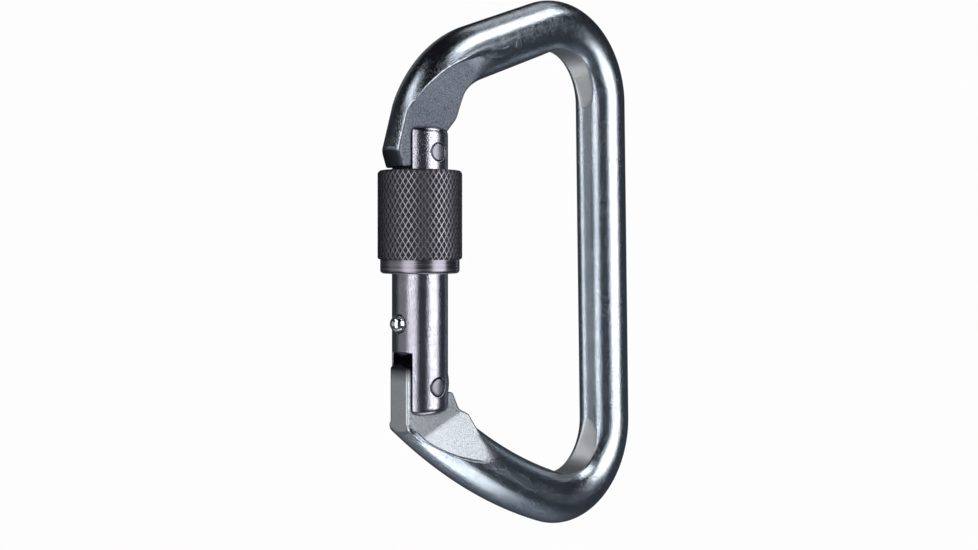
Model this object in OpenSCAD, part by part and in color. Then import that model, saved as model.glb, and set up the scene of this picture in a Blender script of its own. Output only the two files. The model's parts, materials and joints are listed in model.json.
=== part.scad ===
// Screw-locking D carabiner: a bent round bar, and a hinged gate with a threaded locking sleeve.
// Millimetres. +Z up along the spine, +X from the gate to the spine, +Y through the flat side.
// The origin is on the inside face of the top bend, at its crown, where a rope or an anchor bears.

/* [Bar] */
// Diameter of the round bar
bar_d = 11; // [10.6:0.1:11.4]
// Corner of the bar's centre line over the nose, x
nose_corner_x = -36.65; // [-37:0.05:-36.3]
// Corner of the bar's centre line over the nose, z
nose_corner_z = -7.89; // [-8.28:0.05:-7.48]
// Corner of the centre line at the top of the spine, x
top_corner_x = 15.06; // [14.6:0.02:15.6]
// Corner of the centre line at the top of the spine, z
top_corner_z = 11.86; // [11.52:0.02:12.22]
// Corner of the centre line at the foot of the spine, x
foot_corner_x = 17.35; // [16.8:0.05:17.9]
// Corner of the centre line at the foot of the spine, z
foot_corner_z = -103.34; // [-104.48:0.05:-102.48]
// Corner of the centre line beside the hinge, x
hinge_corner_x = -26.45; // [-27:0.05:-26]
// Corner of the centre line beside the hinge, z
hinge_corner_z = -86.29; // [-86.78:0.05:-85.78]
// Bend radius over the nose, to the centre line
nose_bend_r = 24; // [23:0.5:25]
// Bend radius at the top of the spine
top_bend_r = 15.5; // [15.2:0.1:15.8]
// Bend radius at the foot of the spine
foot_bend_r = 15; // [14.5:0.1:15.5]
// Bend radius of the lower arm beside the hinge
hinge_bend_r = 125; // [115:1:130]
// Depth of the flats pressed into the inside of the two spine bends
bend_flat = 0.8; // [0.5:0.1:1]

/* [Blades] */
// Thickness of the flattened nose and of the hinge tab
blade_t = 5; // [4.8:0.1:5.1]
// Slope of the ramps that lead from the round bar down to the blades, degrees
ramp_slope = 15.6; // [15:0.1:17]
// Height of the nose ramp's foot, on the gate's axis
nose_ramp_z = -10.88; // [-11.48:0.1:-10.48]
// Height of the hinge ramp's foot, on the gate's axis
hinge_ramp_z = -77.35; // [-77.98:0.05:-76.98]
// Turn of both ramps' feet from level, degrees
ramp_turn = 22.3; // [21:0.1:24]
// Radius of the hinge tab's rounded top
tab_r = 5.4; // [5.2:0.05:5.5]

/* [Gate] */
// Distance from the crown out to the gate's axis
gate_reach = 39.15; // [39:0.05:39.3]
// Diameter of the gate
gate_d = 10.6; // [10.4:0.1:10.8]
// Top of the gate
gate_top_z = -19.48; // [-19.78:0.1:-19.18]
// Bottom of the gate
gate_foot_z = -72.93; // [-73.18:0.05:-72.68]
// Width of the slots that take the nose and the hinge tab
slot_w = 5.3; // [5.25:0.05:5.5]
// Floor of the upper slot
top_slot_z = -27.98; // [-28.28:0.1:-27.88]
// Roof of the lower slot
foot_slot_z = -61.73; // [-61.98:0.05:-61.48]
// Height of the latch pin
latch_z = -24.31; // [-24.38:0.01:-24.23]
// Height of the hinge pin
hinge_z = -68.06; // [-68.18:0.02:-67.98]
// Radius of the edges at both ends of the gate
gate_edge_r = 0.9; // [0.5:0.1:1.2]
// Diameter of the latch pin where it crosses the slot
latch_pin_d = 2.5; // [2.3:0.1:2.5]
// Diameter of the latch pin's countersunk heads and of the hinge pin
rivet_d = 3.4; // [3.2:0.1:3.5]

/* [Sleeve] */
// Diameter over the knurl
sleeve_d = 16; // [15.9:0.1:16.2]
// Top of the sleeve
sleeve_top_z = -27.63; // [-27.78:0.05:-27.58]
// Bottom of the knurled part
knurl_foot_z = -44.33; // [-44.58:0.05:-44.08]
// Diameter of the smooth collar
collar_d = 15; // [14.8:0.1:15.2]
// Bottom of the collar
collar_foot_z = -46.93; // [-47.08:0.05:-46.78]
// Outside diameter of the gate's threaded boss
boss_d = 13; // [12.9:0.1:13.2]
// Height of the threaded boss
boss_h = 10; // [9:0.5:10]

/* [Stop ball and spring] */
// Diameter of the ball that stops the sleeve
ball_d = 3.16; // [3:0.02:3.2]
// Height of the ball
ball_z = -56.24; // [-56.48:0.02:-55.98]
// Diameter of the blind bore for the spring and its plunger
spring_bore_d = 4; // [3.9:0.05:4.1]
// Distance of that bore from the gate's axis, towards the spine
spring_offset = 1.8; // [1.7:0.05:1.8]
// Depth of that bore above the lower slot
spring_bore_depth = 14; // [13:0.5:14.5]
// Wire diameter of the return spring
wire_d = 0.5; // [0.4:0.05:0.6]
// Turns of the return spring
spring_turns = 8; // [6:1:9]

/* [Hidden] */
$fn = 96;

STEEL = "lightsteelblue";
GATE_GREY = "slategray";
SLEEVE_GREY = "dimgray";
PIN_GREY = "lightgray";

bar_r = bar_d / 2;
gate_r = gate_d / 2;
gate_x = -gate_reach;
pivot = [gate_x, hinge_z];
latch = [gate_x, latch_z];

// Clearances
run = 0.05;
latch_gap = 0.135;
swing_gap = 0.15;
hair = 0.02;

// The latch pin swings about the hinge pin on this radius
latch_swing_r = latch_z - hinge_z;

// Ends of the centre line, beyond where the blades are trimmed
nose_end = [gate_x - 4.05, latch_z - 5.81];
hinge_end = [gate_x - 5.38, hinge_z - 1.25];
CORNERS = [nose_end, [nose_corner_x, nose_corner_z], [top_corner_x, top_corner_z],
           [foot_corner_x, foot_corner_z], [hinge_corner_x, hinge_corner_z], hinge_end];
BEND_R = [0, nose_bend_r, top_bend_r, foot_bend_r, hinge_bend_r, 0];

// Edge circles of the two pressed pockets: [x, z, radius]
NOSE_POCKET = [gate_x + 15.68, latch_z - 4.41, 23.97];
HINGE_POCKET = [gate_x + 17.29, hinge_z + 15.62, 31.64];
// Half thickness of the metal that the press spreads inward beside the hinge
spread_half = 4.2;

// The heel: the flat on the hinge tab that the plunger presses on, above the pivot
heel_h = 3.4;
plunger_r = spring_bore_d / 2 - 0.07;
plunger_len = 6.4;
stem_r = 1;
stem_len = 3;
plunger_x = gate_x + spring_offset;
bore_top_z = foot_slot_z + spring_bore_depth;
plunger_foot_z = hinge_z + heel_h + run;
spring_foot_z = plunger_foot_z + plunger_len;

// Bores of the sleeve: nut on the boss, throat over the nose, skirt over the collar's spigot
nut_foot_z = knurl_foot_z + 4.6;
nut_top_z = nut_foot_z + 6;
nut_r = boss_d / 2 + run;
throat_r = 7.15;
skirt_r = 6.75;
spigot_r = 7.15;
spigot_h = 2.3;
lip_h = 0.55;
boss_foot_z = knurl_foot_z - 0.6;

// ---- Plane geometry, in the plane of the carabiner: [x, z] ----

function unit(v) = v / norm(v);
function heading(v) = atan2(v.y, v.x);
function short_turn(a) = a > 180 ? a - 360 : a < -180 ? a + 360 : a;

// Distance from corner b to where a round of radius r leaves its two sides
function setback(a, b, c, r) =
    r == 0 ? 0 : r / tan(acos(unit(a - b) * unit(c - b)) / 2);

// Centre of the round at corner b
function round_centre(a, b, c, r) =
    b + unit(unit(a - b) + unit(c - b)) * r / sin(acos(unit(a - b) * unit(c - b)) / 2);

// Points of the round at corner b, or b itself where the corner is sharp
function round_points(a, b, c, r, steps = 8) =
    r == 0 ? [b] :
    let (m = round_centre(a, b, c, r),
         s = setback(a, b, c, r),
         from = heading(b + unit(a - b) * s - m),
         turn = short_turn(heading(b + unit(c - b) * s - m) - from))
    [for (i = [0:steps]) m + r * [cos(from + turn * i / steps), sin(from + turn * i / steps)]];

// A closed outline: rows of [x, z, corner radius]
module rounded(rows) {
    n = len(rows);
    p = [for (row = rows) [row.x, row.y]];
    polygon([for (i = [0:n - 1])
        each round_points(p[(i + n - 1) % n], p[i], p[(i + 1) % n], rows[i].z)]);
}

// Stand a plan drawn in x and z upright, its thickness along Y
module upright() rotate([90, 0, 0]) children();

// A round hole or pin along Y, centred on the plane of the carabiner
module cross_round(at, r, len) {
    translate([at.x, at.y, 0]) cylinder(r = r, h = len, center = true);
}

// ---- Body ----

// A straight leg is a hair thinner than the bends, and its ends reach a hair into them
module bar_leg(from, to) {
    translate([from.x, from.y, 0])
        rotate([0, 0, heading(to - from)])
            rotate([0, 90, 0])
                translate([0, 0, -hair])
                    cylinder(r = bar_r - hair, h = norm(to - from) + 2 * hair);
}

module bar_bend(a, b, c, r) {
    m = round_centre(a, b, c, r);
    s = setback(a, b, c, r);
    from = heading(b + unit(a - b) * s - m);
    turn = short_turn(heading(b + unit(c - b) * s - m) - from);
    translate([m.x, m.y, 0])
        rotate([0, 0, min(from, from + turn)])
            rotate_extrude(angle = abs(turn))
                translate([r, 0]) circle(r = bar_r);
}

function corner_setback(i) =
    BEND_R[i] == 0 ? 0 : setback(CORNERS[i - 1], CORNERS[i], CORNERS[i + 1], BEND_R[i]);

// Leg i runs from corner i to corner i + 1, between the two rounds
module leg(i) {
    along = unit(CORNERS[i + 1] - CORNERS[i]);
    bar_leg(CORNERS[i] + along * corner_setback(i), CORNERS[i + 1] - along * corner_setback(i + 1));
}

module bend(i) {
    bar_bend(CORNERS[i - 1], CORNERS[i], CORNERS[i + 1], BEND_R[i]);
}

// Rows of an outline given from a point: [dx, dz, corner radius]
function from_point(at, rows) = [for (row = rows) [at.x + row.x, at.y + row.y, row.z]];

// Inner edge of the nose, spread by the press
module nose_outline() {
    rounded(from_point(latch, [
        [12.5, 16.8, 0], [10.3, 13.5, 4], [7, 6.8, 8], [1.8, 1.2, 0],
        [-5, 1.2, 0], [-3, 9, 0], [3, 15.5, 0], [11, 19, 0]]));
}

// Hinge tab below its rounded top, with the spur beside the gate
module tab_outline() {
    rounded(from_point(pivot, [
        [-tab_r, 0, 0], [-tab_r, -7.8, 0], [-2.6, -9.9, 0], [5, -14, 0], [9.5, -14.7, 0],
        [12.4, -10.9, 0], [10.25, -6.4, 0.8], [8, -5.2, 2], [6.3, -1.8, 0.8], [4.4, -1.7, 0],
        [4.4, 0, 0]]));
}

// The part of the tab's inner edge that lies on the ramp, and is thicker
module spread_outline() {
    rounded(from_point(pivot, [
        [4, -8, 0], [7, -12, 0], [9.5, -14.7, 0], [12.4, -10.9, 0], [10.25, -6.4, 0.8], [8, -5.6, 0]]));
}

// Metal removed on one face beside a blade: everything over the blade and its ramp
module over_ramp(foot_z, turn) {
    reach = 18;
    translate([gate_x, foot_z, 0])
        rotate([0, 0, turn])
            rotate([90, 0, 0])
                linear_extrude(height = 90, center = true)
                    polygon([[-70, blade_t / 2], [0, blade_t / 2],
                             [reach, blade_t / 2 + reach * tan(ramp_slope)],
                             [reach, 12], [-70, 12]]);
}

module pocket(circle_row, foot_z, turn) {
    intersection() {
        translate([circle_row.x, circle_row.y, 0]) cylinder(r = circle_row.z, h = 12);
        over_ramp(foot_z, turn);
    }
}

module both_faces() {
    children();
    mirror([0, 0, 1]) children();
}

// Flat pressed into the inside of bend i, running out where the legs begin
module bend_flat_cut(i) {
    shift = 2 * bend_flat;
    m = round_centre(CORNERS[i - 1], CORNERS[i], CORNERS[i + 1], BEND_R[i]);
    to_corner = unit(CORNERS[i] - m);
    cross_round(m + to_corner * shift, BEND_R[i] - bar_r - shift + bend_flat, bar_d);
}

// Space the latch pin needs: a round seat, open along the pin's arc towards the spine
module latch_notch() {
    r = latch_pin_d / 2 + latch_gap;
    cross_round(latch, r, bar_d);
    translate([pivot.x, pivot.y, 0])
        rotate([0, 0, 78])
            rotate_extrude(angle = 12)
                translate([latch_swing_r - r, -bar_r]) square([2 * r, bar_d]);
}

// Trims the claw so that the sleeve's rim swings past under it
module under_claw() {
    rim_swing_r = norm([sleeve_d / 2 - 0.4, sleeve_top_z - hinge_z]);
    cross_round(pivot, rim_swing_r + swing_gap, bar_d + 2);
}

// Cone round the gate's axis, which lets the sleeve rise over the claw
module outside_claw() {
    foot_z = sleeve_top_z + 0.5;
    translate([gate_x, foot_z - 3, 0])
        rotate([-90, 0, 0])
            difference() {
                cylinder(r = 14, h = 8);
                translate([0, 0, -0.01]) cylinder(r1 = 5.8, r2 = 8.6, h = 8.02);
            }
}

module nose() {
    difference() {
        union() {
            leg(0);
            linear_extrude(height = 2 * spread_half, center = true) nose_outline();
        }
        under_claw();
        outside_claw();
        latch_notch();
    }
}

module hinge_tab() {
    cross_round(pivot, tab_r, blade_t);
    linear_extrude(height = blade_t, center = true) tab_outline();
    linear_extrude(height = 2 * spread_half, center = true) spread_outline();
}

// Beyond the tab's end face, with a bevel on each side of it
module beyond_tab() {
    side = blade_t / 2 + 0.1;
    translate([pivot.x - tab_r, pivot.y - 1, 0])
        rotate([90, 0, 0])
            linear_extrude(height = 20)
                polygon([[-9, -side - 6], [6, -side - 6], [0, -side],
                         [0, side], [6, side + 6], [-9, side + 6]]);
}

// Flat heel for the plunger, on the spine side of the tab's top
module heel_cut() {
    translate([pivot.x - 0.35, pivot.y + heel_h, -blade_t]) cube([8, 5, 2 * blade_t]);
}

module body() {
    color(STEEL)
    upright()
    difference() {
        union() {
            nose();
            for (i = [1:4]) bend(i);
            for (i = [1:4]) leg(i);
            hinge_tab();
        }
        both_faces() pocket(NOSE_POCKET, nose_ramp_z, 90 - ramp_turn);
        both_faces() pocket(HINGE_POCKET, hinge_ramp_z, ramp_turn - 90);
        bend_flat_cut(2);
        bend_flat_cut(3);
        cross_round(pivot, rivet_d / 2 + run, bar_d);
        beyond_tab();
        heel_cut();
    }
}

// ---- Gate ----

// Half profile of a turned piece with rounded outer edges at both ends
module turned_half(r, h, edge) {
    square([r - edge, h]);
    translate([0, edge]) square([r, h - 2 * edge]);
    translate([r - edge, edge]) circle(r = edge);
    translate([r - edge, h - edge]) circle(r = edge);
}

module gate_barrel() {
    translate([gate_x, 0, gate_foot_z])
        rotate_extrude()
            intersection() {
                turned_half(gate_r, gate_top_z - gate_foot_z, gate_edge_r);
                square([2 * gate_r, gate_top_z - gate_foot_z]);
            }
}

module threaded_boss() {
    chamfer = 0.5;
    translate([gate_x, 0, boss_foot_z]) {
        cylinder(r1 = boss_d / 2 - chamfer, r2 = boss_d / 2, h = chamfer);
        translate([0, 0, chamfer]) cylinder(r = boss_d / 2, h = boss_h - 2 * chamfer);
        translate([0, 0, boss_h - chamfer])
            cylinder(r1 = boss_d / 2, r2 = boss_d / 2 - chamfer, h = chamfer);
    }
}

// A countersunk rivet shape along Y, longer than the gate is thick
module rivet_form(z, shank_r, head_r) {
    head_depth = 1.4;
    translate([gate_x, 0, z])
        rotate([90, 0, 0]) {
            cylinder(r = shank_r, h = gate_d + 1, center = true);
            if (head_r > shank_r)
                for (side = [0, 180])
                    rotate([0, side, 0])
                        translate([0, 0, gate_r - head_depth])
                            cylinder(r1 = shank_r, r2 = head_r, h = head_depth);
        }
}

module slot(foot, top) {
    translate([gate_x - gate_d, -slot_w / 2, foot]) cube([2 * gate_d, slot_w, top - foot]);
}

module ball_form() {
    translate([gate_x - gate_r - 0.1, 0, ball_z]) sphere(d = ball_d);
}

module spring_bore() {
    translate([plunger_x, 0, foot_slot_z - 1]) cylinder(d = spring_bore_d, h = spring_bore_depth + 1);
}

module gate() {
    color(GATE_GREY)
    difference() {
        union() {
            gate_barrel();
            threaded_boss();
        }
        slot(top_slot_z, gate_top_z + 1);
        slot(gate_foot_z - 1, foot_slot_z);
        spring_bore();
        ball_form();
        rivet_form(latch_z, latch_pin_d / 2, rivet_d / 2);
        rivet_form(hinge_z, rivet_d / 2, rivet_d / 2);
    }
}

module latch_pin() {
    color(PIN_GREY)
    intersection() {
        rivet_form(latch_z, latch_pin_d / 2, rivet_d / 2);
        translate([gate_x, 0, latch_z - 4]) cylinder(r = gate_r, h = 8);
    }
}

module hinge_pin() {
    color(PIN_GREY)
    intersection() {
        rivet_form(hinge_z, rivet_d / 2, rivet_d / 2);
        translate([gate_x, 0, hinge_z - 4]) cylinder(r = gate_r, h = 8);
    }
}

module stop_ball() {
    color("silver") ball_form();
}

// ---- Return spring and plunger ----

SPRING_STEPS = 20;
WIRE_SIDES = 8;

// Ring k of the spring's wire, round a helix whose first and last turns lie closer
function spring_ring(k, coil_r, foot, rise) =
    let (f = k / (SPRING_STEPS * spring_turns),
         a = 360 * spring_turns * f,
         z = foot + rise * (f - sin(360 * f) / 18))
    [for (j = [0:WIRE_SIDES - 1])
        let (b = 360 * j / WIRE_SIDES, r = coil_r + wire_d / 2 * cos(b))
        [r * cos(a), r * sin(a), z + wire_d / 2 * sin(b)]];

module return_spring() {
    gap = 0.02;
    rise = bore_top_z - spring_foot_z - wire_d - 2 * gap;
    foot = spring_foot_z + wire_d / 2 + gap;
    coil_r = spring_bore_d / 2 - wire_d / 2 - 0.12;
    last = SPRING_STEPS * spring_turns;
    n = WIRE_SIDES;
    rings = [for (k = [0:last]) each spring_ring(k, coil_r, foot, rise)];
    sides = [for (k = [0:last - 1], j = [0:n - 1])
        [k * n + j, (k + 1) * n + j, (k + 1) * n + (j + 1) % n, k * n + (j + 1) % n]];
    ends = [[for (j = [0:n - 1]) j], [for (j = [n - 1:-1:0]) last * n + j]];
    color(PIN_GREY)
        translate([plunger_x, 0, 0]) polyhedron(points = rings, faces = concat(sides, ends));
}

module spring_plunger() {
    color(PIN_GREY)
    translate([plunger_x, 0, plunger_foot_z]) {
        intersection() {
            translate([0, 0, plunger_r]) sphere(r = plunger_r);
            cylinder(r = plunger_r, h = plunger_r);
        }
        translate([0, 0, plunger_r]) cylinder(r = plunger_r, h = plunger_len - plunger_r);
        translate([0, 0, plunger_len]) cylinder(r = stem_r, h = stem_len);
    }
}

// ---- Locking sleeve ----

// Smooth collar, with a lip that slides on the gate and a spigot that the knurled sleeve turns on
module sleeve_collar() {
    edge = 0.6;
    collar_top_z = knurl_foot_z - run / 2;
    h = collar_top_z - collar_foot_z;
    color(SLEEVE_GREY)
    translate([gate_x, 0, collar_foot_z])
        rotate_extrude()
            difference() {
                union() {
                    turned_half(collar_d / 2, h - edge, edge);
                    translate([0, edge]) square([collar_d / 2, h - edge]);
                    square([spigot_r, h + spigot_h]);
                }
                translate([-1, lip_h]) square([skirt_r + 1, h + spigot_h]);
                translate([-1, -1]) square([gate_r + 1.08, 3]);
            }
}

module knurled_sleeve() {
    foot_z = knurl_foot_z + run / 2;
    h = sleeve_top_z - foot_z;
    chamfer = 0.4;
    r = sleeve_d / 2;
    spigot_top = knurl_foot_z + spigot_h + run - foot_z;
    nut_foot = nut_foot_z - foot_z;
    nut_top = nut_top_z - foot_z;
    color(SLEEVE_GREY)
    translate([gate_x, 0, foot_z])
        rotate_extrude()
            polygon([[spigot_r + run, 0], [r - chamfer / 2, 0], [r, chamfer / 2], [r, h - chamfer],
                     [r - chamfer, h], [throat_r + chamfer, h], [throat_r, h - chamfer],
                     [throat_r, nut_top + 0.6], [nut_r, nut_top], [nut_r, nut_foot],
                     [skirt_r, nut_foot - 0.2], [skirt_r, spigot_top], [spigot_r + run, spigot_top]]);
}

body();
gate();
latch_pin();
hinge_pin();
stop_ball();
return_spring();
spring_plunger();
sleeve_collar();
knurled_sleeve();
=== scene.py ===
import json
import math
from collections import namedtuple

import bpy
import numpy as np
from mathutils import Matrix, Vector


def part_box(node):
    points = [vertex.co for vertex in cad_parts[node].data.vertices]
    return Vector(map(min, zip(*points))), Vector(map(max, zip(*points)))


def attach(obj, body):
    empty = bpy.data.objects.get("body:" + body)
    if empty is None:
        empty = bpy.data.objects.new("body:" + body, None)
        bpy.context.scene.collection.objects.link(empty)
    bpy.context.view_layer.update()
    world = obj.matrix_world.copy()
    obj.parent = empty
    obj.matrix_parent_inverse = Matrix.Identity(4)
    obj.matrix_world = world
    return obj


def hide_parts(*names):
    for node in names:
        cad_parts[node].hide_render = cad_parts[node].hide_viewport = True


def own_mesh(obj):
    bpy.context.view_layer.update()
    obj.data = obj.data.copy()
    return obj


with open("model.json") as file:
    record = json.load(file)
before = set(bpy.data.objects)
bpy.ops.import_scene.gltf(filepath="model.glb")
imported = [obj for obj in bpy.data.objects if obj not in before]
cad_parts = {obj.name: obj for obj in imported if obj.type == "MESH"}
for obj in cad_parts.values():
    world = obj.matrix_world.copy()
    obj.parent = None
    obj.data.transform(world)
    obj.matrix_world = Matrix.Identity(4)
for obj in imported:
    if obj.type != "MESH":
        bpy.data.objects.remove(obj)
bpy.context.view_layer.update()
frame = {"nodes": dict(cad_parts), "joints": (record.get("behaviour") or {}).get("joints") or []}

# The shapes below are worked out in millimetres and made in metres.
MM = 0.001

# ---------------------------------------------------------------- camera

VIEW_AZIMUTH = math.radians(-45.7)
CAMERA_AT = (-174.17, -150.01, -39.74)
FOCAL_LENGTH, SENSOR_WIDTH, SHIFT_UP = 39.17, 36, -0.0409


def view_direction(azimuth, elevation):
    """The direction from the object towards azimuth degrees right of the camera."""
    turn = VIEW_AZIMUTH + math.radians(azimuth)
    rise = math.radians(elevation)
    level = math.cos(rise)
    return Vector((math.sin(turn) * level, -math.cos(turn) * level, math.sin(rise)))


def make_camera():
    """A camera level with the ground, framed as the photo is."""
    data = bpy.data.cameras.new("camera")
    data.lens = FOCAL_LENGTH
    data.sensor_width = SENSOR_WIDTH
    data.shift_y = SHIFT_UP
    data.clip_start = 0.005
    camera = bpy.data.objects.new("camera", data)
    camera.location = Vector(CAMERA_AT) * MM
    camera.rotation_euler = (-view_direction(0, 0)).to_track_quat("-Z", "Y").to_euler()
    bpy.context.scene.collection.objects.link(camera)
    bpy.context.scene.camera = camera


make_camera()

# ---------------------------------------------------------------- sizes, from the frame


def span(node):
    """Lowest and highest corners of a CAD node, in millimetres."""
    low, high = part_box(node)
    return np.array(low) / MM, np.array(high) / MM


def joint(name):
    return next(j for j in frame["joints"] if j["name"] == name)


gate_low, gate_high = span("gate")
knurl_low, knurl_high = span("knurled_sleeve")
body_low, body_high = span("body")
ball_low, ball_high = span("stop_ball")
latch_low, latch_high = span("latch_pin")

GATE_X = (knurl_low[0] + knurl_high[0]) / 2
LATCH = np.array([GATE_X, (latch_low[2] + latch_high[2]) / 2])
PIVOT = np.array([GATE_X, joint("gate_hinge")["pos_m"][2] / MM])
GATE_R = (latch_high[1] - latch_low[1]) / 2
SLEEVE_R = (knurl_high[0] - knurl_low[0]) / 2
BAR_R = (body_high[1] - body_low[1]) / 2
BALL_AT = (ball_low + ball_high) / 2
BALL_R = (ball_high[2] - ball_low[2]) / 2

# ---------------------------------------------------------------- sizes of the body

# Corners of the centre line, [x, z], and the radius of the bend at each
NOSE_END = LATCH + [-4.05, -5.81]
NOSE_CORNER = np.array([-36.65, -7.89])
TOP_CORNER = np.array([15.06, 11.86])
FOOT_CORNER = np.array([17.35, -103.34])
HINGE_CORNER = np.array([-26.45, -86.29])
HINGE_END = PIVOT + [-5.38, -1.25]
CORNERS = [NOSE_END, NOSE_CORNER, TOP_CORNER, FOOT_CORNER, HINGE_CORNER, HINGE_END]
BEND_R = [0, 24, 15.5, 15, 125, 0]

# Thickness of both blades, and half that of the metal which the press spreads beside them
BLADE_T, SPREAD_HALF = 5, 4.2

# Ramps from the blades up to the round bar: foot on the gate's axis, direction in which the
# ramp rises, and the length over which it eases in
Ramp = namedtuple("Ramp", "foot turn ease")
RAMP_SLOPE = math.tan(math.radians(15.6))
RAMP_TURN = math.radians(22.3)
NOSE_RAMP = Ramp(np.array([GATE_X, -10.88]), math.pi / 2 - RAMP_TURN, 6)
HINGE_RAMP = Ramp(np.array([GATE_X, -77.35]), RAMP_TURN - math.pi / 2, 0.5)

# Pockets that the press cleared beside the blades: edge circle and the ramp inside it
Pocket = namedtuple("Pocket", "centre radius ramp")
NOSE_POCKET = Pocket(LATCH + [15.68, -4.41], 23.97, NOSE_RAMP)
HINGE_POCKET = Pocket(PIVOT + [17.29, 15.62], 31.64, HINGE_RAMP)
# The nose's pocket gets a softer edge this far up its ramp, over this length, by this rate
FADE_FROM, FADE_OVER, FADE_RATE = 7, 5, 0.35

# Flats pressed into the inside of the two spine bends: bend, depth, shift towards the corner
BEND_FLATS = ((2, 0.72, 1.25), (3, 0.76, 1.5))

# Hinge tab: rounded top, half width of the end face between its bevels, the pin and its hole,
# and the heel that the plunger presses on, over and beside the pivot
TAB_R, BEVEL_HALF = 5.4, 2.6
HINGE_PIN_R, HINGE_HOLE_R = 1.7, 1.75
HEEL_H, HEEL_BACK = 3.4, 0.35
COS_45 = 0.7071

# Claw: the pin's seat, the gap past the sleeve's rounded rim, and the cone round the gate's
# axis that the sleeve rises over, by its radius this far below the sleeve's top
LATCH_PIN_R, LATCH_GAP = 1.25, 0.135
RIM_EDGE, SWING_GAP = 0.4, 0.1
CONE_R, CONE_DROP, CONE_SLOPE = 5.8, 2.5, 0.35

# The stretches of the body where the hinge end and the claw are shaped
HINGE_END_X, HINGE_END_RISE = -30, 8
CLAW_X, CLAW_FOOT_Z, CLAW_TOP_Z = -28, -45, -14

# Over how much of the field an edge or a join is rounded
NOTCH_EDGE, PRESS_EDGE, TAB_EDGE, POCKET_EDGE = 0.2, 0.25, 0.3, 0.35
CLAW_EDGE, JOIN_EDGE, PLATE_EDGE = 0.4, 0.5, 0.6

# ---------------------------------------------------------------- plane geometry, as [x, z]


def unit(v):
    return v / np.linalg.norm(v)


def half_angle(a, b, c):
    """Half the angle at corner b."""
    return math.acos(unit(a - b) @ unit(c - b)) / 2


def round_centre(a, b, c, r):
    """Centre of the round of radius r at corner b."""
    return b + unit(unit(a - b) + unit(c - b)) * r / math.sin(half_angle(a, b, c))


def round_points(a, b, c, r, steps=6):
    """Points of the round at corner b, or b itself where the corner is sharp."""
    if r == 0:
        return [b]
    half, centre = half_angle(a, b, c), round_centre(a, b, c, r)
    start = b + unit(a - b) * r / math.tan(half) - centre
    end = b + unit(c - b) * r / math.tan(half) - centre
    turn = math.atan2(start[0] * end[1] - start[1] * end[0], start @ end)
    turns = [turn * k / steps for k in range(steps + 1)]
    return [centre + [start[0] * math.cos(t) - start[1] * math.sin(t),
                      start[0] * math.sin(t) + start[1] * math.cos(t)] for t in turns]


def rounded_outline(at, rows):
    """Points of a closed outline whose rows are [x, z, corner radius] from the point at."""
    corners = [np.array([at[0] + dx, at[1] + dz]) for dx, dz, _ in rows]
    points = []
    for i, (_, _, r) in enumerate(rows):
        points += round_points(corners[i - 1], corners[i], corners[(i + 1) % len(rows)], r)
    return np.array(points)


NOSE_OUTLINE = rounded_outline(LATCH, [
    [14, 17.2, 0], [9, 12.6, 4], [7.3, 6.9, 4], [1.8, 1, 0],
    [-5, 1.2, 0], [-3, 9, 0], [3, 15.5, 0], [11, 19, 0]])
TAB_OUTLINE = rounded_outline(PIVOT, [
    [-TAB_R, 0, 0], [-TAB_R, -7.8, 0], [-2.6, -9.9, 0], [5, -14, 0], [9.5, -14.7, 0],
    [12.4, -10.9, 0], [10.25, -6.4, 0.8], [8, -5.2, 2], [6.3, -1.8, 0.8], [4.4, -1.7, 0],
    [4.4, 0, 0]])


def bend_centre(i):
    return round_centre(*CORNERS[i - 1:i + 2], BEND_R[i])


def setback(i):
    """Length that the bend at corner i takes from each leg."""
    return BEND_R[i] / math.tan(half_angle(*CORNERS[i - 1:i + 2])) if BEND_R[i] else 0


def leg_ends(i):
    """Ends of the straight leg between corners i and i + 1."""
    along = unit(CORNERS[i + 1] - CORNERS[i])
    return CORNERS[i] + along * setback(i), CORNERS[i + 1] - along * setback(i + 1)


# ---------------------------------------------------------------- distance fields, negative inside

FAR = 99.0


def soft_max(a, b, k):
    """Larger of two fields, rounded over about k where they cross."""
    h = np.maximum(k - np.abs(a - b), 0) / k
    return np.maximum(a, b) + h * h * k / 4


def soft_min(a, b, k):
    return -soft_max(-a, -b, k)


def to_point(x, z, at):
    """Distance in the plane from a point, or from an axis along Y."""
    return np.hypot(x - at[0], z - at[1])


def to_segment(x, z, a, b):
    """Distance in the plane from a straight piece."""
    d = b - a
    t = np.clip(((x - a[0]) * d[0] + (z - a[1]) * d[1]) / (d @ d), 0, 1)
    return np.hypot(x - a[0] - t * d[0], z - a[1] - t * d[1])


def to_bend(x, z, i):
    """Distance in the plane from the arc of bend i, far away outside its sector."""
    centre = bend_centre(i)
    middle = unit(CORNERS[i] - centre)
    half_turn = math.pi / 2 - half_angle(*CORNERS[i - 1:i + 2])
    r = to_point(x, z, centre)
    along = (x - centre[0]) * middle[0] + (z - centre[1]) * middle[1]
    in_sector = along / np.maximum(r, 1e-6) > math.cos(half_turn)
    return np.where(in_sector, np.abs(r - BEND_R[i]), FAR)


def to_centre_line(x, z):
    """Distance in the plane from the whole centre line: its legs and bends."""
    d = to_segment(x, z, *leg_ends(0))
    for i in range(1, len(CORNERS) - 1):
        d = np.minimum(d, to_bend(x, z, i))
        d = np.minimum(d, to_segment(x, z, *leg_ends(i)))
    return d


def outline_field(x, z, points):
    """Signed distance from a closed outline."""
    d = np.full(x.shape, FAR)
    inside = np.zeros(x.shape, bool)
    for a, b in zip(points, np.roll(points, -1, 0)):
        d = np.minimum(d, to_segment(x, z, a, b))
        crosses = (a[1] > z) != (b[1] > z)
        at = (b[0] - a[0]) * (z - a[1]) / (b[1] - a[1] if b[1] != a[1] else 1) + a[0]
        inside ^= crosses & (x < at)
    return np.where(inside, -d, d)


def past_foot(x, z, ramp):
    """Distance beyond the line where a ramp starts."""
    return ((x - ramp.foot[0]) * math.cos(ramp.turn)
            + (z - ramp.foot[1]) * math.sin(ramp.turn))


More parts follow.
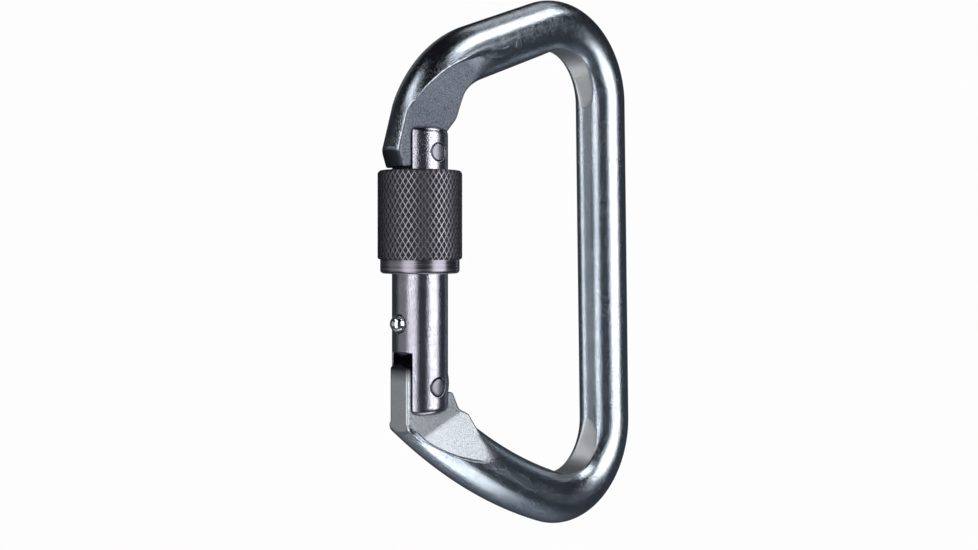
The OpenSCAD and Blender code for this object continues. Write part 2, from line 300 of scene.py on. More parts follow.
def blade_half(x, z, ramp):
    """Half thickness of the metal under a blade and its ramp."""
    past = past_foot(x, z, ramp)
    return BLADE_T / 2 + RAMP_SLOPE * soft_max(past, np.zeros_like(past), ramp.ease)


def pocket_field(x, y, z, pocket):
    """Space that the press cleared on both faces beside a blade."""
    wall = to_point(x, z, pocket.centre) - pocket.radius
    return soft_max(wall, blade_half(x, z, pocket.ramp) - np.abs(y), PRESS_EDGE)


def bend_flat_field(x, z, i, depth, shift):
    """Space of the flat pressed into the inside of bend i."""
    centre = bend_centre(i)
    at = centre + unit(CORNERS[i] - centre) * shift
    return to_point(x, z, at) - (BEND_R[i] - BAR_R + depth - shift)


def tab_field(x, y, z):
    """The hinge tab, before its pocket is pressed to the blade's thickness."""
    flat = np.minimum(to_point(x, z, PIVOT) - TAB_R, outline_field(x, z, TAB_OUTLINE))
    flat = soft_max(flat, PIVOT[0] - TAB_R - x, TAB_EDGE)
    half = np.minimum(blade_half(x, z, HINGE_RAMP) + 0.6, SPREAD_HALF)
    return soft_max(flat, np.abs(y) - half, PRESS_EDGE)


def latch_notch_field(x, z):
    """The latch pin's round seat, open along the pin's arc towards the spine."""
    r = LATCH_PIN_R + LATCH_GAP
    seat = to_point(x, z, LATCH) - r
    swing = np.abs(to_point(x, z, PIVOT) - (LATCH[1] - PIVOT[1])) - r
    return np.minimum(seat, np.maximum(swing, LATCH[0] - x))


def claw_limits(x, y, z):
    """What the claw has to stay in: above the swing of the sleeve's rim, and within the cone."""
    rim_swing_r = math.hypot(SLEEVE_R - RIM_EDGE, knurl_high[2] - PIVOT[1])
    under = rim_swing_r + SWING_GAP - to_point(x, z, PIVOT)
    cone_r = CONE_R + CONE_SLOPE * (z - knurl_high[2] + CONE_DROP)
    around = (np.hypot(x - GATE_X, y) - cone_r) * math.cos(math.atan(CONE_SLOPE))
    return under, around


def formed_bar_field(x, y, z):
    """The bent bar with its spread nose and tab, its pressed pockets and its bend flats."""
    bar = np.hypot(to_centre_line(x, z), y) - BAR_R
    plate = soft_max(outline_field(x, z, NOSE_OUTLINE), np.abs(y) - SPREAD_HALF, PLATE_EDGE)
    f = soft_min(soft_min(bar, plate, JOIN_EDGE), tab_field(x, y, z), TAB_EDGE)
    fade = np.clip(past_foot(x, z, NOSE_RAMP) - FADE_FROM, 0, FADE_OVER) * FADE_RATE
    f = soft_max(f, -pocket_field(x, y, z, NOSE_POCKET), POCKET_EDGE + fade)
    f = soft_max(f, -pocket_field(x, y, z, HINGE_POCKET), POCKET_EDGE)
    for flat in BEND_FLATS:
        f = soft_max(f, -bend_flat_field(x, z, *flat), PRESS_EDGE)
    return f


def trimmed_hinge_end(f, x, y, z):
    """Field f cut off at the tab's end face, bevelled at each side, and cut down to the heel."""
    past_face = PIVOT[0] - TAB_R - x
    past_end = np.maximum(past_face, (past_face + np.abs(y) - BEVEL_HALF) * COS_45)
    heel = np.minimum(z - PIVOT[1] - HEEL_H, x - PIVOT[0] + HEEL_BACK)
    return np.maximum(soft_max(f, past_end, JOIN_EDGE), heel)


def trimmed_claw(f, x, y, z):
    """Field f cut clear of the sleeve and notched for the latch pin."""
    under, around = claw_limits(x, y, z)
    claw = soft_max(soft_max(f, around, CLAW_EDGE), under, CLAW_EDGE)
    return soft_max(claw, -latch_notch_field(x, z), NOTCH_EDGE)


def body_field(x, y, z):
    """The whole body: formed bar, trimmed at both ends, with the hinge pin's hole."""
    f = formed_bar_field(x, y, z)
    near_hinge = (z < PIVOT[1] + HINGE_END_RISE) & (x < HINGE_END_X)
    near_nose = (z > CLAW_FOOT_Z) & (z < CLAW_TOP_Z) & (x < CLAW_X)
    f = np.where(near_hinge, trimmed_hinge_end(f, x, y, z), f)
    f = np.where(near_nose, trimmed_claw(f, x, y, z), f)
    return np.maximum(f, HINGE_HOLE_R - to_point(x, z, PIVOT))


# ---------------------------------------------------------------- mesh from a field


def steps_between(stops):
    """Grid lines: stops are (from, to, spacing) one after another."""
    lines = [np.arange(a, b, h) for a, b, h in stops]
    return np.concatenate(lines + [[stops[-1][1]]])


def both_ways(reach, spacing):
    """Grid lines on both sides of the plane y = 0."""
    side = steps_between([(0, reach, spacing)])
    return np.concatenate([-side[:0:-1], side])


def field_gradient(field, p, step):
    grad = np.empty_like(p)
    for axis in range(3):
        shift = np.zeros(3)
        shift[axis] = step
        grad[:, axis] = (field(*(p + shift).T) - field(*(p - shift).T)) / (2 * step)
    return grad


def pull_to_surface(field, p, rounds=4, step=0.01, reach=0.3):
    """Newton steps, none longer than reach, that bring points onto the field's zero surface."""
    for _ in range(rounds):
        grad = field_gradient(field, p, step)
        size = np.maximum((grad ** 2).sum(1), 0.25)
        move = field(*p.T) / size
        p = p - grad * np.clip(move, -reach, reach)[:, None]
    return p


def quads_across(inside, index):
    """A quad round each grid edge with one end inside, facing outwards, from numbered cells."""
    quads = []
    for axis in range(3):
        u, v = (axis + 1) % 3, (axis + 2) % 3
        low = [slice(None)] * 3
        high = [slice(None)] * 3
        low[axis], high[axis] = slice(0, -1), slice(1, None)
        a, b = inside[tuple(low)], inside[tuple(high)]
        for leaving in (True, False):
            edge = np.argwhere((a & ~b) if leaving else (~a & b))
            edge = edge[(edge[:, u] > 0) & (edge[:, v] > 0)
                        & (edge[:, u] < inside.shape[u] - 1) & (edge[:, v] < inside.shape[v] - 1)]
            corner = []
            for du, dv in ((-1, -1), (0, -1), (0, 0), (-1, 0)):
                c = edge.copy()
                c[:, u] += du
                c[:, v] += dv
                corner.append(index[c[:, 0], c[:, 1], c[:, 2]])
            quad = np.stack(corner, 1)
            quads.append(quad if leaving else quad[:, ::-1])
    return np.concatenate(quads)


def net_from_field(field, xs, ys, zs, even):
    """Surface net: a point in each grid cell that the surface crosses, joined by quads.

    An even field is the same on both sides of the plane y = 0."""
    if even:
        half = field(*np.meshgrid(xs, ys[ys >= -1e-9], zs, indexing="ij"))
        f = np.concatenate([half[:, :0:-1], half], 1)
    else:
        f = field(*np.meshgrid(xs, ys, zs, indexing="ij"))
    inside = f < 0
    count = np.zeros(tuple(n - 1 for n in f.shape), int)
    for i, j, k in np.ndindex(2, 2, 2):
        count += inside[i:f.shape[0] - 1 + i, j:f.shape[1] - 1 + j, k:f.shape[2] - 1 + k]
    active = (count > 0) & (count < 8)
    at = np.argwhere(active)
    index = np.full(active.shape, -1)
    index[active] = np.arange(len(at))
    middles = [(g[at[:, k]] + g[at[:, k] + 1]) / 2 for k, g in enumerate((xs, ys, zs))]
    return pull_to_surface(field, np.stack(middles, 1)), quads_across(inside, index)


def mesh_object(name, points, faces, normals=None):
    """A smooth-shaded object from points in millimetres."""
    mesh = bpy.data.meshes.new(name)
    mesh.from_pydata((np.asarray(points) * MM).tolist(), [], faces)
    mesh.shade_smooth()
    if normals is not None:
        mesh.normals_split_custom_set_from_vertices(normals.tolist())
    obj = bpy.data.objects.new(name, mesh)
    bpy.context.scene.collection.objects.link(obj)
    return obj


def field_object(name, field, grid, step, even=False):
    """An object on a field's zero surface, shaded by the field's slope over a step; its points."""
    points, quads = net_from_field(field, *grid, even)
    normals = field_gradient(field, points, step)
    normals /= np.maximum(np.linalg.norm(normals, axis=1), 1e-6)[:, None]
    return mesh_object(name, points, quads.tolist(), normals), points


# ---------------------------------------------------------------- body


def surface_mask(obj, name, values):
    """A number at each point, for materials to mix by."""
    layer = obj.data.attributes.new(name, "FLOAT", "POINT")
    layer.data.foreach_set("value", np.clip(values, 0, 1).astype(np.float32))


# Distance up the nose's ramp where its matte surface has gone, and over which it goes
MATTE_END, MATTE_FADE = 12.5, 6
# How close to a face counts as on it
FACE_NEAR, SEAT_NEAR, FLOOR_NEAR = 0.15, 0.08, 0.8


def nearness(distance, width):
    """1 or more up to half the width away, falling to 0 at one and a half widths."""
    return 1.5 - distance / width


def mask_pockets(obj, points):
    """Masks of the two pockets' floors and ramps, shallower close to the wall."""
    x, y, z = points.T
    nose_end = np.clip((MATTE_END - past_foot(x, z, NOSE_RAMP)) / MATTE_FADE, 0, 1)
    for name, pocket, kept in (("nose_flat", NOSE_POCKET, nose_end),
                               ("hinge_flat", HINGE_POCKET, 1)):
        lift = np.abs(np.abs(y) - blade_half(x, z, pocket.ramp))
        from_wall = pocket.radius - to_point(x, z, pocket.centre)
        by_wall = np.where(from_wall > -FACE_NEAR, nearness(lift, FACE_NEAR), 0)
        on_floor = np.where(from_wall > 0.5, nearness(lift, FLOOR_NEAR), 0)
        surface_mask(obj, name, np.clip(np.maximum(by_wall, on_floor), 0, 1) * kept)


def mask_worn_faces_and_painted_shade(obj, points):
    """Masks of the bend flats and the tab's end face, and of painted shade on the top of its eye
    and on the claw's cone.
    """
    x, y, z = points.T
    seat = np.zeros(len(points))
    for flat in BEND_FLATS:
        seat = np.maximum(seat, nearness(np.abs(bend_flat_field(x, z, *flat)), SEAT_NEAR))
    surface_mask(obj, "seat", seat)
    at_hinge = z < PIVOT[1] + 6
    surface_mask(obj, "tab_end", nearness(np.abs(x - PIVOT[0] + TAB_R), FACE_NEAR) * at_hinge)
    # Painted shade: the top of the hinge eye is coloured near black, more so higher up.
    surface_mask(obj, "painted_shade_eye_top", (z - PIVOT[1] - 1) / 2.5 * at_hinge * (x < GATE_X + 3))
    # Painted shade: the claw's end face, which faces down into shade, is coloured near black.
    cone = np.abs(claw_limits(x, y, z)[1])
    at_claw = (z > -30) & (z < LATCH[1] + 4) & (x < GATE_X)
    surface_mask(obj, "painted_shade_claw_end", nearness(cone, FACE_NEAR) * at_claw)


def make_body():
    """The bar, netted finely at its two blades and coarsely along the plain stretches."""
    fine, medium, coarse = 0.25, 0.5, 0.65
    xs = steps_between([(-48.3, -24, fine), (-24, 23.3, coarse)])
    ys = both_ways(5.9, 0.26)
    zs = steps_between([(-102.8, -86, medium), (-86, -61, fine), (-61, -29, coarse),
                        (-29, -2.5, fine), (-2.5, 11.5, medium)])
    obj, points = field_object("carabiner_body", body_field, (xs, ys, zs), step=0.06, even=True)
    mask_pockets(obj, points)
    mask_worn_faces_and_painted_shade(obj, points)
    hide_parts("body")
    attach(obj, "frame")
    return obj


# ---------------------------------------------------------------- gate

# Round both ends, and how much lower the foot reaches than the CAD gate's
GATE_EDGE_R = 1.4
FOOT_EXTRA = 0.35
SLOT_HALF, SLOT_EDGE = 2.65, 0.35
TOP_SLOT_Z = -27.98
FOOT_SLOT_Z = -61.73
BOSS_R, BOSS_FOOT_Z, BOSS_TOP_Z, BOSS_EDGE_R = 6.5, -44.93, -34.93, 0.4
THREAD_PITCH, THREAD_DEPTH = 2, 0.45
# The thread makes the boss's field steeper than a distance, so it is scaled down
BOSS_SCALE = 0.8
BORE_R, BORE_X, BORE_TOP_Z = 2, GATE_X + 1.8, -47.73
# Radius of each pin's head and of the hole it closes, which shows as a dark ring
TOP_PIN_R, TOP_HOLE_R = 1.6, 1.74
FOOT_PIN_R, FOOT_HOLE_R = 1.56, 1.82
BALL_GAP = 0.1
# Over how much of the field the gate's joins and edges are rounded
BOSS_JOIN, HOLE_EDGE, BALL_EDGE = 0.2, 0.08, 0.15


def rounded_bar_field(r, z, radius, foot, top, edge):
    """A round bar along Z with rounded ends."""
    out_r = r - (radius - edge)
    out_z = np.abs(z - (foot + top) / 2) - ((top - foot) / 2 - edge)
    outside = np.hypot(np.maximum(out_r, 0), np.maximum(out_z, 0))
    return outside + np.minimum(np.maximum(out_r, out_z), 0) - edge


def boss_field(r, turn, z):
    """The boss with its thread, r and turn being about the gate's axis."""
    turns = z / THREAD_PITCH - turn / (2 * math.pi)
    thread = THREAD_DEPTH * np.abs(2 * (turns - np.floor(turns)) - 1)
    boss = rounded_bar_field(r + thread, z, BOSS_R, BOSS_FOOT_Z, BOSS_TOP_Z, BOSS_EDGE_R)
    return boss * BOSS_SCALE


def gate_field(x, y, z):
    """The gate: barrel and boss, less both slots, the spring's bore, pin holes and ball seat."""
    r, turn = np.hypot(x - GATE_X, y), np.arctan2(y, x - GATE_X)
    barrel = rounded_bar_field(r, z, GATE_R, gate_low[2] - FOOT_EXTRA, gate_high[2], GATE_EDGE_R)
    f = soft_min(barrel, boss_field(r, turn, z), BOSS_JOIN)
    for past_floor in (TOP_SLOT_Z - z, z - FOOT_SLOT_Z):
        f = soft_max(f, -np.maximum(np.abs(y) - SLOT_HALF, past_floor), SLOT_EDGE)
    f = np.maximum(f, -np.maximum(np.hypot(x - BORE_X, y) - BORE_R, z - BORE_TOP_Z))
    for at, hole_r in ((LATCH, TOP_HOLE_R), (PIVOT, FOOT_HOLE_R)):
        f = soft_max(f, hole_r - to_point(x, z, at), HOLE_EDGE)
    from_ball = np.sqrt((x - BALL_AT[0]) ** 2 + y ** 2 + (z - BALL_AT[2]) ** 2)
    return soft_max(f, -(from_ball - BALL_R - BALL_GAP), BALL_EDGE)


def make_gate():
    """The gate, netted finely at both ends and round its thread."""
    fine, reach = 0.2, 6.9
    xs = steps_between([(GATE_X - reach, GATE_X + reach, fine)])
    ys = both_ways(reach, fine)
    zs = steps_between([(gate_low[2] - 0.7, -59, fine), (-59, -50, 0.4), (-50, -45.2, 0.6),
                        (-45.2, -34.6, 0.25), (-34.6, gate_high[2] + 0.4, fine)])
    obj, _ = field_object("gate_barrel", gate_field, (xs, ys, zs), step=0.04)
    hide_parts("gate")
    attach(obj, "gate")
    return obj


# ---------------------------------------------------------------- turned pieces

PIN_SIDES = 64


def band(lower, upper, sides):
    """Quads between two rings, given by their numbers."""
    quads = []
    for j in range(sides):
        n = (j + 1) % sides
        quads.append((lower * sides + j, lower * sides + n, upper * sides + n, upper * sides + j))
    return quads


def turned(rows, around, sides):
    """Points and faces of rings whose rows are [radius, place]; around maps them to space."""
    angles = np.linspace(0, 2 * math.pi, sides, endpoint=False)
    points = [around(r, a, at) for r, at in rows for a in angles]
    faces = [quad for k in range(len(rows) - 1) for quad in band(k, k + 1, sides)]
    return points, faces


def make_pin(name, node, at, head_r, shank_r, hole_depth):
    """A rivet along Y, its ends dressed flush with the round gate."""
    head = [[0.02, 0], [head_r * 0.5, 0], [head_r - 0.2, 0.01], [head_r - 0.08, 0.04],
            [head_r - 0.02, 0.1], [head_r, 0.2], [head_r, 0.5], [shank_r, hole_depth]]
    rows = head + [[r, 2 * GATE_R - inset] for r, inset in reversed(head)]

    def around(r, a, depth):
        x, z = r * math.cos(a), r * math.sin(a)
        round_half = math.sqrt(GATE_R ** 2 - x * x)
        from_mid = (GATE_R - depth) / GATE_R
        return [at[0] + x, -from_mid * round_half, at[1] + z]

    points, faces = turned(rows, around, PIN_SIDES)
    last_ring = tuple(range(len(points) - PIN_SIDES, len(points)))
    obj = mesh_object(name, points, faces + [tuple(range(PIN_SIDES))[::-1], last_ring])
    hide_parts(node)
    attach(obj, "gate")
    return obj


# ---------------------------------------------------------------- sleeve

KNURLS_ROUND, KNURL_RISE, KNURL_DEPTH, KNURL_STEPS = 44, 1.8, 0.26, 8
SLEEVE_SIDES = KNURLS_ROUND * KNURL_STEPS
TOP_BEVEL, FOOT_BEVEL = 0.4, 0.25
# Bores from the top down: throat over the nose, nut on the boss, skirt, and room for the collar
THROAT_R, NUT_R, SKIRT_R, COLLAR_ROOM_R = 7.15, 6.55, 6.75, 7.2
NUT_TOP_Z, NUT_FOOT_Z, SKIRT_FOOT_Z = -33.73, -39.73, -42.0


def knurl_height(j, k):
    """Height from 0 to 1 of the crossed ridges, at side j of ring k."""
    u, v = ((j + k) / KNURL_STEPS) % 1, ((j - k) / KNURL_STEPS) % 1
    return max(abs(2 * u - 1), abs(2 * v - 1))


def knurl_rings(foot, top):
    """Rows of [radius, z, ridge height] for each ring of the knurl, from the foot up."""
    rise = KNURL_RISE / KNURL_STEPS
    levels = [foot + rise * k for k in range(int((top - foot) / rise))] + [top]
    for k, z in enumerate(levels):
        bevel = max(TOP_BEVEL - (top - z), 0) + max(FOOT_BEVEL - (z - foot), 0)
        heights = [knurl_height(j, k) for j in range(SLEEVE_SIDES)]
        yield [[min(SLEEVE_R - KNURL_DEPTH * (1 - h), SLEEVE_R - bevel), z, h] for h in heights]


def bore_rings(foot, top):
    """The same rows for the rim, the bores and the lower rim."""
    for r, z in ([SLEEVE_R - 0.45, top], [THROAT_R + 0.4, top], [THROAT_R, top - 0.4],
                 [THROAT_R, NUT_TOP_Z + 0.6], [NUT_R, NUT_TOP_Z], [NUT_R, NUT_FOOT_Z],
                 [SKIRT_R, NUT_FOOT_Z - 0.2], [SKIRT_R, SKIRT_FOOT_Z],
                 [COLLAR_ROOM_R, SKIRT_FOOT_Z], [COLLAR_ROOM_R, foot],
                 [SLEEVE_R - FOOT_BEVEL, foot]):
        yield [[r, z, 0.5]] * SLEEVE_SIDES


def make_sleeve():
    """The sleeve: a crossed knurl outside, and its bores inside."""
    ends = knurl_low[2], knurl_high[2]
    knurl, bores = list(knurl_rings(*ends)), list(bore_rings(*ends))
    angles = 2 * math.pi * np.arange(SLEEVE_SIDES) / SLEEVE_SIDES
    points = [[GATE_X + r * math.cos(a), r * math.sin(a), z]
              for ring in knurl + bores for a, (r, z, _) in zip(angles, ring)]
    faces = []
    for k in range(len(knurl) - 1):
        for j, (a, b, c, d) in enumerate(band(k, k + 1, SLEEVE_SIDES)):
            faces += [(a, b, c), (a, c, d)] if (j + k) % 2 == 0 else [(a, b, d), (b, c, d)]
    rings = list(range(len(knurl) - 1, len(knurl) + len(bores))) + [0]
    for lower, upper in zip(rings, rings[1:]):
        faces += band(lower, upper, SLEEVE_SIDES)
    obj = mesh_object("knurled_sleeve_turned", points, faces)
    surface_mask(obj, "ridge", np.array([h for ring in knurl + bores for _, _, h in ring]))
    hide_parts("knurled_sleeve")
    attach(obj, "sleeve")
    return obj


# ---------------------------------------------------------------- spring

WIRE_R, WIRE_SIDES = 0.25, 12
COIL_TURNS, COIL_STEPS = 8, 32
# The end turns lie closer: their pitch is 1 - 2 pi / END_EASE of the mean one
END_EASE = 18


def make_spring():
    """The return spring: a wire coil."""
    low, high = span("return_spring")
    coil_r = (high[1] - low[1]) / 2 - WIRE_R
    foot, rise = low[2] + WIRE_R, high[2] - low[2] - 2 * WIRE_R
    centre_x = (low[0] + high[0]) / 2
    steps = COIL_STEPS * COIL_TURNS
    rows = [[WIRE_R, k / steps] for k in range(steps + 1)]

    def around(r, a, f):
        turn = 2 * math.pi * COIL_TURNS * f
        out = coil_r + r * math.cos(a)
        z = foot + rise * (f - math.sin(2 * math.pi * f) / END_EASE) + r * math.sin(a)
        return [centre_x + out * math.cos(turn), out * math.sin(turn), z]

    points, faces = turned(rows, around, WIRE_SIDES)
    first_ring = tuple(range(WIRE_SIDES))
    last_ring = tuple(range(len(points) - WIRE_SIDES, len(points)))
    ends = [first_ring, last_ring[::-1]]
    obj = mesh_object("return_spring_coil", points, [face[::-1] for face in faces] + ends)
    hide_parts("return_spring")
    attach(obj, "gate")
    travel = max(joint("plunger_slide")["range_m"]) / MM
    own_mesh(obj)
    return obj


# ---------------------------------------------------------------- materials


class Material:
    """A node material on one Principled shader, with its own small toolbox."""

    def __init__(self, name, colour, roughness, metallic=1.0):
        self.material = bpy.data.materials.new(name)
        self.material.use_nodes = True
        self.nodes = self.material.node_tree.nodes
        self.links = self.material.node_tree.links
        self.shader = self.nodes["Principled BSDF"]
        self.shader.inputs["Base Color"].default_value = (*colour, 1)
        self.shader.inputs["Roughness"].default_value = roughness
        self.shader.inputs["Metallic"].default_value = metallic
        self.place = self.nodes.new("ShaderNodeTexCoord").outputs["Object"]
        self.bumped = None

    def noise(self, size_mm, detail=3.0, stretch=None):
        """Noise whose grains are about size_mm across."""
        place = self.place
        if stretch:
            mapping = self.nodes.new("ShaderNodeMapping")
            mapping.inputs["Scale"].default_value = stretch
            self.links.new(place, mapping.inputs["Vector"])
            place = mapping.outputs["Vector"]
        node = self.nodes.new("ShaderNodeTexNoise")
        node.inputs["Scale"].default_value = 1 / (size_mm * MM)
        node.inputs["Detail"].default_value = detail
        self.links.new(place, node.inputs["Vector"])
        return node.outputs["Fac"]

    def mask(self, name):
        """A number that surface_mask gave the object's points."""
        node = self.nodes.new("ShaderNodeAttribute")
        node.attribute_name = name
        return node.outputs["Fac"]

    def scaled(self, value, low, high, to_low=0.0, to_high=1.0):
        """The stretch from low to high of a value, spread over another."""
        node = self.nodes.new("ShaderNodeMapRange")
        for key, number in (("From Min", low), ("From Max", high),
                            ("To Min", to_low), ("To Max", to_high)):
            node.inputs[key].default_value = number
        self.links.new(value, node.inputs["Value"])
        return node.outputs["Result"]

    def mix(self, data_type, kind, factor, a, b):
        node = self.nodes.new("ShaderNodeMix")
        node.data_type = data_type
        for key, of_kind, value in (("Factor", "VALUE", factor), ("A", kind, a), ("B", kind, b)):
            socket = next(s for s in node.inputs if s.name == key and s.type == of_kind)
            self.fill(socket, value)
        return next(s for s in node.outputs if s.type == kind)

    def mix_number(self, factor, a, b):
        return self.mix("FLOAT", "VALUE", factor, a, b)

    def mix_colour(self, factor, a, b):
        return self.mix("RGBA", "RGBA", factor, a, b)

    def fill(self, socket, value):
        """Link a socket to another one, or give it a constant."""
        if isinstance(value, bpy.types.NodeSocket):
            self.links.new(value, socket)
        elif isinstance(value, tuple):
            socket.default_value = (*value, 1)
        else:
            socket.default_value = value

    def bump(self, height, distance_mm, strength=1.0):
        """Relief on top of the bumps that are there already."""
        node = self.nodes.new("ShaderNodeBump")
        node.inputs["Distance"].default_value = distance_mm * MM
        self.fill(node.inputs["Strength"], strength)
        self.links.new(height, node.inputs["Height"])
        if self.bumped:
            self.links.new(self.bumped, node.inputs["Normal"])
        self.bumped = node.outputs["Normal"]
        self.links.new(self.bumped, self.shader.inputs["Normal"])

    def set(self, socket, value):
        self.fill(self.shader.inputs[socket], value)


# How the masked faces of the body differ: mask, dark and light colour, roughness, relief
BODY_FACES = (
    ("hinge_flat", (0.28, 0.30, 0.33), (0.54, 0.57, 0.61), 0.33, 0.8),
    ("nose_flat", (0.07, 0.085, 0.12), (0.24, 0.26, 0.30), 0.5, 1.0),
    ("seat", (0.58, 0.60, 0.61), (0.68, 0.70, 0.71), 0.4, 0.3),
    ("tab_end", (0.60, 0.63, 0.66), (0.74, 0.77, 0.80), 0.38, 0.5),
    # Painted shade: the top of the hinge eye, coloured near black.
    ("painted_shade_eye_top", (0.02, 0.02, 0.025), (0.04, 0.04, 0.05), 0.5, 1.0),
    # Painted shade: the claw's end face, coloured near black.
    ("painted_shade_claw_end", (0.03, 0.035, 0.045), (0.06, 0.065, 0.08), 0.4, 1.0))


def plated_steel():
    """Bright zinc over a tumbled surface, with matte pressed faces, worn seats, and painted shade
    on the eye's top and the claw's end face.
    """
    m = Material("plated_steel", (0.56, 0.6, 0.64), 0.22)
    grain, cloud = m.noise(0.16, 4), m.noise(6, 4)
    speck = m.scaled(grain, 0.4, 0.58)
    clean = m.mix_colour(m.scaled(cloud, 0.35, 0.65), (0.50, 0.56, 0.63), (0.62, 0.66, 0.69))
    colour = m.mix_colour(speck, (0.30, 0.35, 0.42), clean)
    rough = m.scaled(grain, 0.3, 0.7, 0.23, 0.11)
    relief = 0.8
    for name, dark, light, worn, depth in BODY_FACES:
        where = m.mask(name)
        colour = m.mix_colour(where, colour, m.mix_colour(speck, dark, light))
        rough = m.mix_number(where, rough, worn)
        relief = m.mix_number(where, relief, depth)
    m.set("Base Color", colour)
    m.set("Roughness", rough)
    m.bump(m.noise(0.24, 2), 0.04, relief)
    m.bump(m.scaled(m.noise(0.26, 1), 0.56, 0.68), 0.016, 0.7)
    return m.material


def gate_steel():
    """Darker plating, with a violet tinge and fine specks."""
    m = Material("gate_steel", (0.36, 0.35, 0.40), 0.22)
    grain, cloud = m.noise(0.22, 3), m.noise(3, 3)
    clean = m.mix_colour(m.scaled(cloud, 0.35, 0.65), (0.38, 0.37, 0.43), (0.48, 0.47, 0.53))
    m.set("Base Color", m.mix_colour(m.scaled(grain, 0.36, 0.6), (0.3, 0.29, 0.34), clean))
    m.set("Roughness", m.scaled(grain, 0.3, 0.7, 0.24, 0.11))
    m.bump(m.noise(0.23, 2), 0.042, 0.8)
    m.bump(m.scaled(m.noise(0.24, 1), 0.58, 0.7), 0.012, 0.6)
    return m.material


def sleeve_steel():
    """Dark in the knurl's pits and rubbed bright, unevenly, on its crests."""
    m = Material("sleeve_steel", (0.2, 0.19, 0.22), 0.34)
    worn, rub = m.scaled(m.mask("ridge"), 0.78, 1.0), m.noise(0.9, 2)
    crest = m.mix_colour(m.scaled(rub, 0.35, 0.65), (0.27, 0.26, 0.30), (0.44, 0.42, 0.46))
    m.set("Base Color", m.mix_colour(worn, (0.05, 0.048, 0.06), crest))
    m.set("Roughness", m.mix_number(worn, 0.5, 0.26))
    m.bump(m.noise(0.12, 3), 0.012, 0.5)
    return m.material


def collar_steel():
    """Turned, with fine rings round the axis."""
    m = Material("collar_steel", (0.27, 0.26, 0.30), 0.28)
    rings = m.noise(0.35, 3, (0.02, 0.02, 1))
    dark, light = (0.2, 0.19, 0.23), (0.36, 0.34, 0.38)
    m.set("Base Color", m.mix_colour(m.scaled(rings, 0.35, 0.65), dark, light))
    m.set("Roughness", m.scaled(rings, 0.3, 0.7, 0.2, 0.4))
    m.bump(rings, 0.02, 0.6)
    return m.material


def rivet_steel():
    """Plain steel, dressed to a dull grain."""
    m = Material("rivet_steel", (0.25, 0.25, 0.29), 0.4)
    grain = m.noise(0.2, 4)
    dark, light = (0.18, 0.18, 0.21), (0.34, 0.34, 0.38)
    m.set("Base Color", m.mix_colour(m.scaled(grain, 0.35, 0.65), dark, light))
    m.set("Roughness", m.scaled(grain, 0.3, 0.7, 0.32, 0.5))
    m.bump(grain, 0.02, 0.6)
    return m.material


def bright_steel():
    """A polished ball with faint scratches."""
    m = Material("bright_steel", (0.8, 0.81, 0.83), 0.06)
    scratches = m.noise(0.5, 3, (1, 1, 0.15))
    m.set("Roughness", m.scaled(scratches, 0.35, 0.65, 0.04, 0.12))
    m.bump(scratches, 0.004, 0.3)
    return m.material


def spring_wire():
    """Drawn wire, finely uneven."""
    m = Material("spring_wire", (0.5, 0.5, 0.52), 0.3)
    m.set("Roughness", m.scaled(m.noise(0.3, 3), 0.3, 0.7, 0.22, 0.4))
    m.bump(m.noise(0.1, 2), 0.006, 0.5)
    return m.material


# ---------------------------------------------------------------- light, world and floor

MIDDLE = (-10, 0, -45)
# Soft boxes: direction from the camera's own as azimuth and elevation in degrees; distance,
# width and height in metres; brightness; and the point faced, in millimetres
SOFT_BOXES = {
    "key_right": (57.5, 5, 0.405, 0.31, 0.385, 2.3, MIDDLE),
    "strip_left": (-31, 0, 0.14, 0.072, 0.28, 1.6, MIDDLE),
    "wall_left": (-73, 0, 0.6, 0.5, 0.5, 0.25, MIDDLE),
    "edge_left": (-61, 3, 0.06, 0.025, 0.17, 1.4, (45, 32, -45)),
    "window_left": (-62, 50, 0.45, 0.165, 0.15, 1.7, (-35, 0, -5)),
    "over_head": (84, 54, 0.41, 0.25, 0.19, 2.4, (-5, 0, 0)),
    "rim_behind": (160, 62, 0.5, 0.2, 0.12, 0.7, MIDDLE),
    "under_arm": (68, -71, 0.11, 0.042, 0.085, 1.6, (-26, 0, -86)),
    "under_tab": (0, -88, 0.05, 0.014, 0.016, 1.9, (-38, 0, -78)),
    "under_left": (-128, -52, 0.16, 0.13, 0.1, 0.08, (-35, 0, -80)),
    "fill_behind": (-152, 30, 0.6, 0.3, 0.25, 0.12, MIDDLE),
}
BACKDROP, BLUE_TINT = (0.985, 0.985, 0.985, 1), (0.9, 1, 1.18)
# Colour of the room from straight below, 0, to straight overhead, 1; its greys get a blue tint
BELOW, OVERHEAD, OVERHEAD_AT = (0.6, 0.61, 0.64, 1), (0.006, 0.007, 0.01, 1), 0.88
ROOM_GREYS = ((0.012, 0.36), (0.03, 0.22), (0.065, 0.18), (0.115, 0.12), (0.18, 0.06),
              (0.42, 0.065), (0.6, 0.05), (0.73, 0.03))


def make_soft_box(name, azimuth, elevation, distance, width, height, brightness, aim):
    """A rectangular lamp that reflections show and the camera doesn't."""
    data = bpy.data.lights.new(name, "AREA")
    data.shape = "RECTANGLE"
    data.size, data.size_y = width, height
    data.energy = brightness * 4 * width * height
    lamp = bpy.data.objects.new(name, data)
    target = Vector(aim) * MM
    lamp.location = target + view_direction(azimuth, elevation) * distance
    lamp.rotation_euler = (target - lamp.location).to_track_quat("-Z", "Y").to_euler()
    lamp.visible_camera = False
    bpy.context.scene.collection.objects.link(lamp)


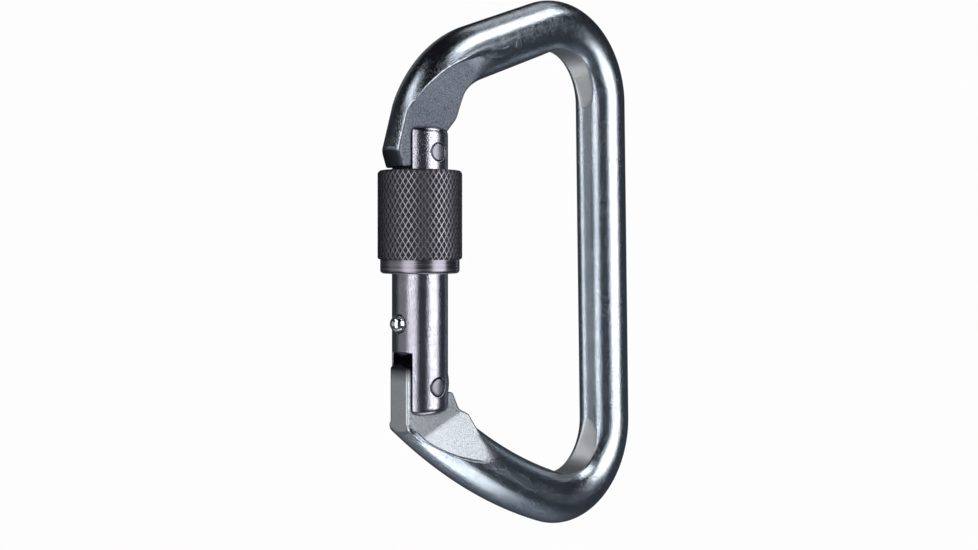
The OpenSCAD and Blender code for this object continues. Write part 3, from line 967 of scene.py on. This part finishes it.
def room_colour(nodes, links):
    """Colour by height for a dim room, brightest right below and darkest overhead."""
    place = nodes.new("ShaderNodeTexCoord")
    split = nodes.new("ShaderNodeSeparateXYZ")
    links.new(place.outputs["Generated"], split.inputs["Vector"])
    rise = nodes.new("ShaderNodeMapRange")
    rise.inputs["From Min"].default_value = -1
    links.new(split.outputs["Z"], rise.inputs["Value"])
    ramp = nodes.new("ShaderNodeValToRGB")
    links.new(rise.outputs["Result"], ramp.inputs["Fac"])
    stops = ramp.color_ramp.elements
    stops[0].position, stops[0].color = 0.0, BELOW
    stops[1].position, stops[1].color = OVERHEAD_AT, OVERHEAD
    for at, grey in ROOM_GREYS:
        red, green, blue = (grey * part for part in BLUE_TINT)
        stops.new(at).color = (red, green, blue, 1)
    return ramp.outputs["Color"]


def make_world():
    """The room for reflections and a pale backdrop for the camera."""
    world = bpy.data.worlds.new("studio")
    bpy.context.scene.world = world
    world.use_nodes = True
    nodes, links = world.node_tree.nodes, world.node_tree.links
    room = nodes["Background"]
    links.new(room_colour(nodes, links), room.inputs["Color"])
    backdrop = nodes.new("ShaderNodeBackground")
    backdrop.inputs["Color"].default_value = BACKDROP
    path = nodes.new("ShaderNodeLightPath")
    mix = nodes.new("ShaderNodeMixShader")
    links.new(path.outputs["Is Camera Ray"], mix.inputs["Fac"])
    links.new(room.outputs["Background"], mix.inputs[1])
    links.new(backdrop.outputs["Background"], mix.inputs[2])
    links.new(mix.outputs["Shader"], nodes["World Output"].inputs["Surface"])


def make_floor():
    """A round pale floor well below the object."""
    sides, radius, level = 128, 440, -250
    angles = [2 * math.pi * k / sides for k in range(sides)]
    ring = [[radius * math.cos(a), radius * math.sin(a), level] for a in angles]
    floor = mesh_object("floor", ring, [tuple(range(sides))])
    m = Material("pale_floor", (0.1, 0.1, 0.1), 0.9, metallic=0)
    m.set("Emission Color", (0.93, 0.935, 0.94))
    m.set("Emission Strength", 0.86)
    floor.data.materials.append(m.material)
    floor.visible_glossy = False


# ---------------------------------------------------------------- making everything


def dress(obj, material):
    """Give an object its material, in place of any it had."""
    obj.data.materials.clear()
    obj.data.materials.append(material)


bpy.context.scene.view_settings.view_transform = "Standard"
make_world()
make_floor()
for light, row in SOFT_BOXES.items():
    make_soft_box(light, *row)

dress(make_body(), plated_steel())
dress(make_gate(), gate_steel())
dress(make_sleeve(), sleeve_steel())
rivets = rivet_steel()
latch_rivet = make_pin("latch_rivet", "latch_pin", LATCH, TOP_PIN_R, LATCH_PIN_R,
                       hole_depth=1.4)
hinge_rivet = make_pin("hinge_rivet", "hinge_pin", PIVOT, FOOT_PIN_R, HINGE_PIN_R,
                       hole_depth=0.9)
dress(latch_rivet, rivets)
dress(hinge_rivet, rivets)
dress(make_spring(), spring_wire())
kept_nodes = {"sleeve_collar": collar_steel(), "stop_ball": bright_steel(),
              "spring_plunger": rivets}
for node, material in kept_nodes.items():
    dress(frame["nodes"][node], material)
